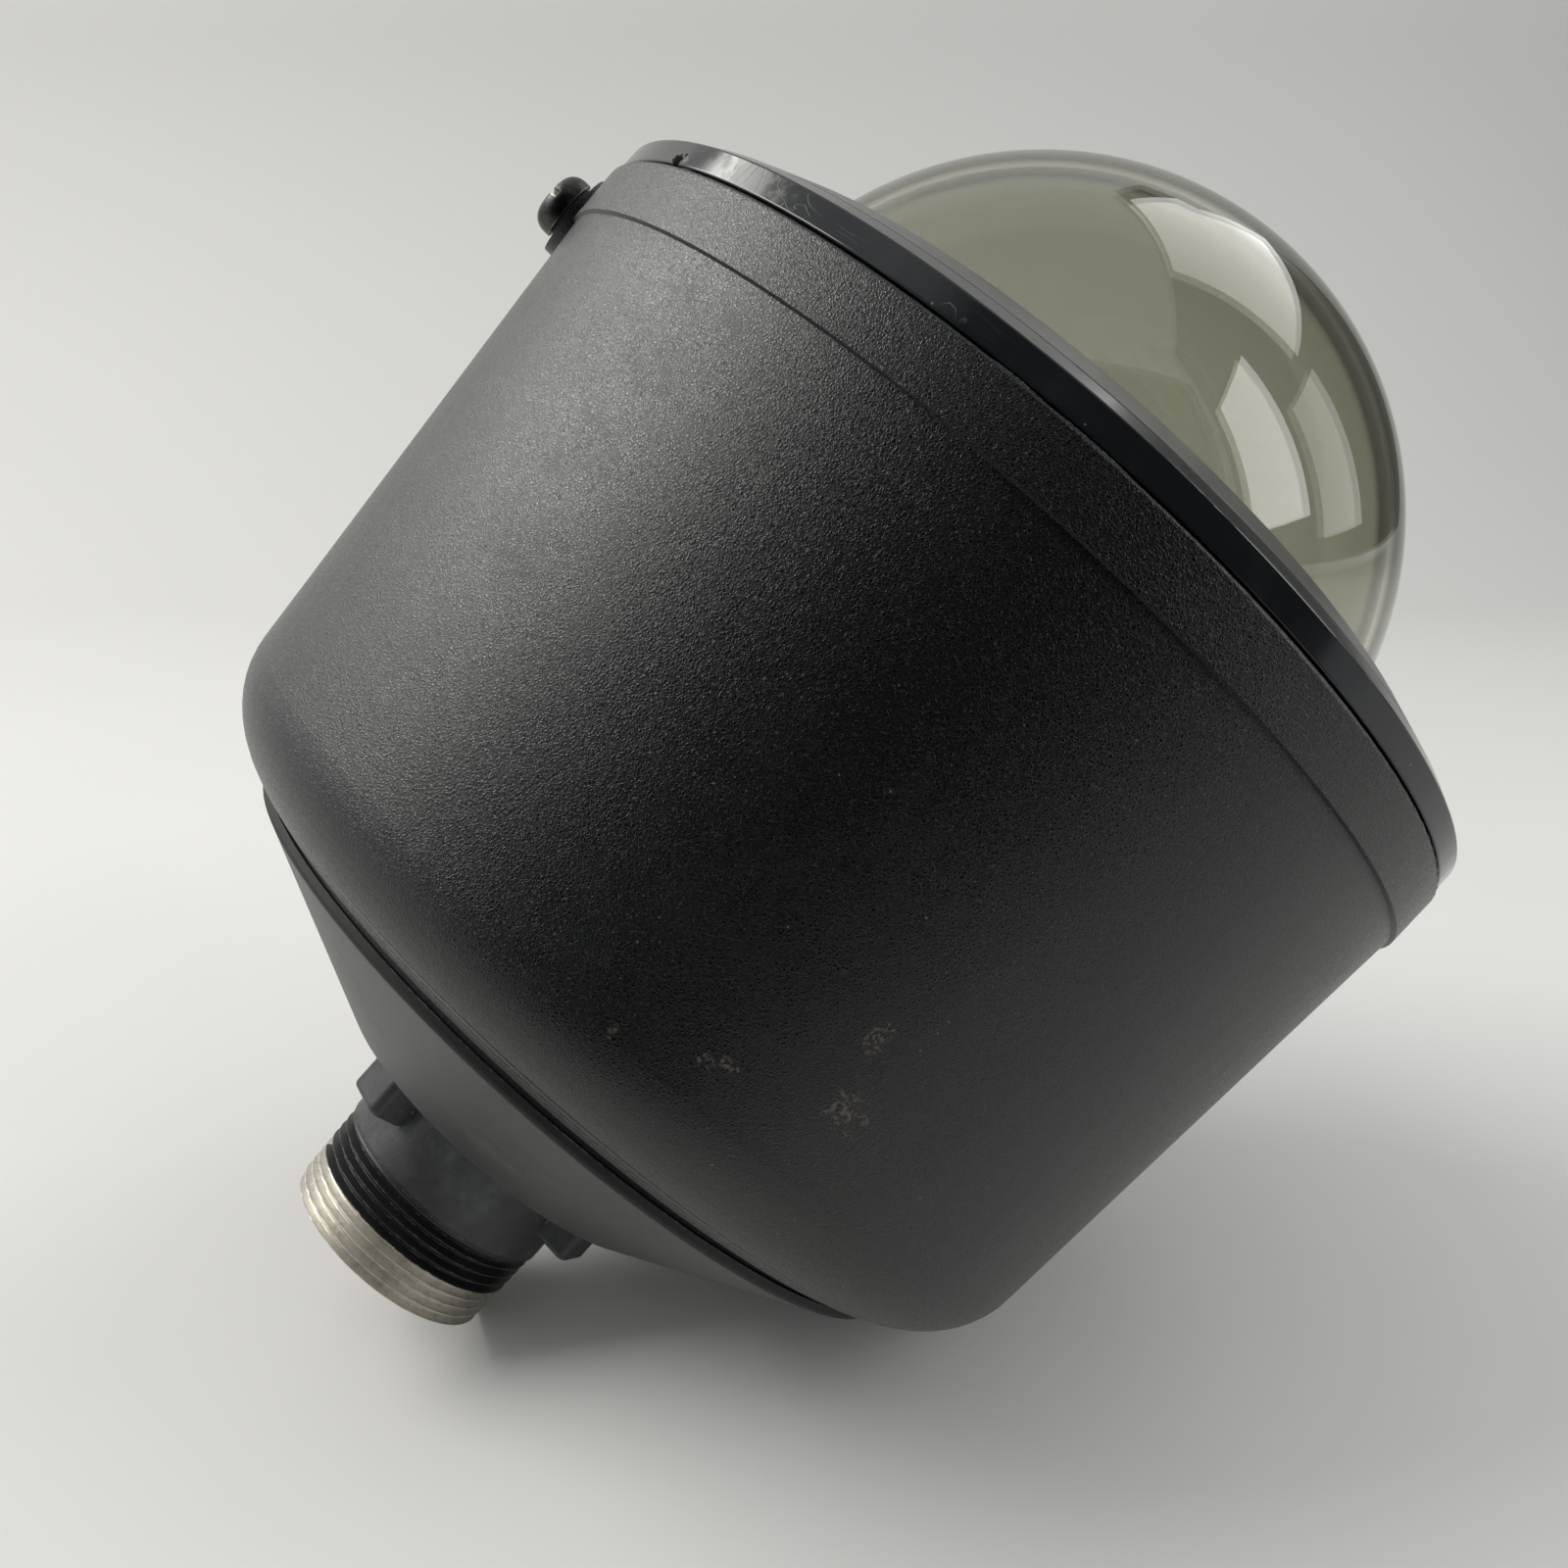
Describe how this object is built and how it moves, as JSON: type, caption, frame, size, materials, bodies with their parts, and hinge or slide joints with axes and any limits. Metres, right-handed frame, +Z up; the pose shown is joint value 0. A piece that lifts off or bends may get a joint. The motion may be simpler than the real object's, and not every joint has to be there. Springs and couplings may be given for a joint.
{
  "type": "security camera housing",
  "caption": "Pendant dome housing for a security camera: threaded pipe cap, round black back box, smoked dome in a drop-down trim ring, pan and tilt camera mount inside.",
  "frame": {"origin": "on the pipe axis, in the plane where the tapered pipe thread is hand tight", "axes": "+Z up along the pipe thread, dome hanging down; X through the two latch screws; +Y the way a camera faces at rest"},
  "size_m": [0.2294, 0.2164, 0.2732],
  "materials": {
    "cap_paint": "satin black paint on cast aluminium, bare metal on the first threads",
    "box_plastic": "black moulded plastic with a fine leather grain",
    "trim_plastic": "gloss black moulded plastic with fine scratches",
    "dome_acrylic": "clear smoked acrylic, olive grey",
    "seal_rubber": "black rubber",
    "grommet_rubber": "black rubber",
    "zinc_sheet": "zinc plated steel sheet",
    "screw_steel": "plated steel",
    "black_screw": "black oxide steel",
    "brass_bush": "turned brass",
    "washer_nylon": "natural nylon",
    "board_laminate": "green circuit board",
    "terminal_plastic": "green terminal blocks",
    "jack_nickel": "nickel plated brass",
    "knob_plastic": "black knob on a steel screw"
  },
  "bodies": {
    "housing": {"pendant_cap": "cap_paint", "cap_gasket": "seal_rubber", "back_box": "box_plastic", "cable_grommet": "grommet_rubber", "cap_screws": "screw_steel", "cap_washers": "screw_steel", "mounting_plate": "zinc_sheet", "plate_screws": "screw_steel", "pan_bolt": "screw_steel", "pan_nut": "screw_steel", "pan_washer": "washer_nylon", "terminal_board": "board_laminate", "board_standoffs": "jack_nickel", "board_screws": "screw_steel", "power_terminals": "terminal_plastic", "power_clamp_screws": "screw_steel", "signal_terminals": "terminal_plastic", "signal_clamp_screws": "screw_steel", "video_jack": "jack_nickel", "video_jack_nut": "jack_nickel", "latch_bushes": "brass_bush"},
    "pan_frame": {"pan_disc": "zinc_sheet", "yoke": "zinc_sheet", "yoke_rivets": "screw_steel"},
    "camera_cradle": {"camera_sled": "zinc_sheet", "camera_pad": "seal_rubber", "tilt_screws": "knob_plastic", "tilt_washers": "washer_nylon", "tilt_nuts": "screw_steel"},
    "camera_thumbscrew": {"camera_screw": "knob_plastic"},
    "latch_right_washer": {"latch_washer_right": "seal_rubber"},
    "latch_right_screw": {"latch_screw_right": "black_screw"},
    "latch_left_washer": {"latch_washer_left": "seal_rubber"},
    "latch_left_screw": {"latch_screw_left": "black_screw"},
    "lower_dome": {"trim_ring": "trim_plastic", "box_seal": "seal_rubber", "dome_bubble": "dome_acrylic", "dome_seal": "seal_rubber", "retaining_ring": "zinc_sheet", "retaining_screws": "screw_steel"}
  },
  "joints": [
    {"name": "dome_drop", "type": "slide", "parent": "housing", "child": "lower_dome", "axis": [0, 0, -1], "range_m": [0, 0.12]},
    {"name": "pan", "type": "hinge", "parent": "housing", "child": "pan_frame", "pos_m": [0, 0, -0.078], "axis": [0, 0, 1], "range_deg": [-175, 175]},
    {"name": "tilt", "type": "hinge", "parent": "pan_frame", "child": "camera_cradle", "pos_m": [0, 0, -0.1601], "axis": [-1, 0, 0], "range_deg": [0, 90]},
    {"name": "camera_screw_slide", "type": "slide", "parent": "camera_cradle", "child": "camera_thumbscrew", "axis": [0, 1, 0], "range_m": [-0.018, 0.018]},
    {"name": "latch_right_travel", "type": "slide", "parent": "housing", "child": "latch_right_washer", "axis": [1, 0, 0], "range_m": [0, 0.003]},
    {"name": "latch_right_turn", "type": "hinge", "parent": "latch_right_washer", "child": "latch_right_screw", "pos_m": [0.11, 0, -0.17105], "axis": [1, 0, 0], "range_deg": [0, 1080]},
    {"name": "latch_left_travel", "type": "slide", "parent": "housing", "child": "latch_left_washer", "axis": [-1, 0, 0], "range_m": [0, 0.003]},
    {"name": "latch_left_turn", "type": "hinge", "parent": "latch_left_washer", "child": "latch_left_screw", "pos_m": [-0.11, 0, -0.17105], "axis": [-1, 0, 0], "range_deg": [0, 1080]}
  ],
  "couplings": [
    {"joint": "latch_right_turn", "follows": "latch_right_travel", "rad_per_m": 6283.2},
    {"joint": "latch_left_turn", "follows": "latch_left_travel", "rad_per_m": 6283.2}
  ]
}
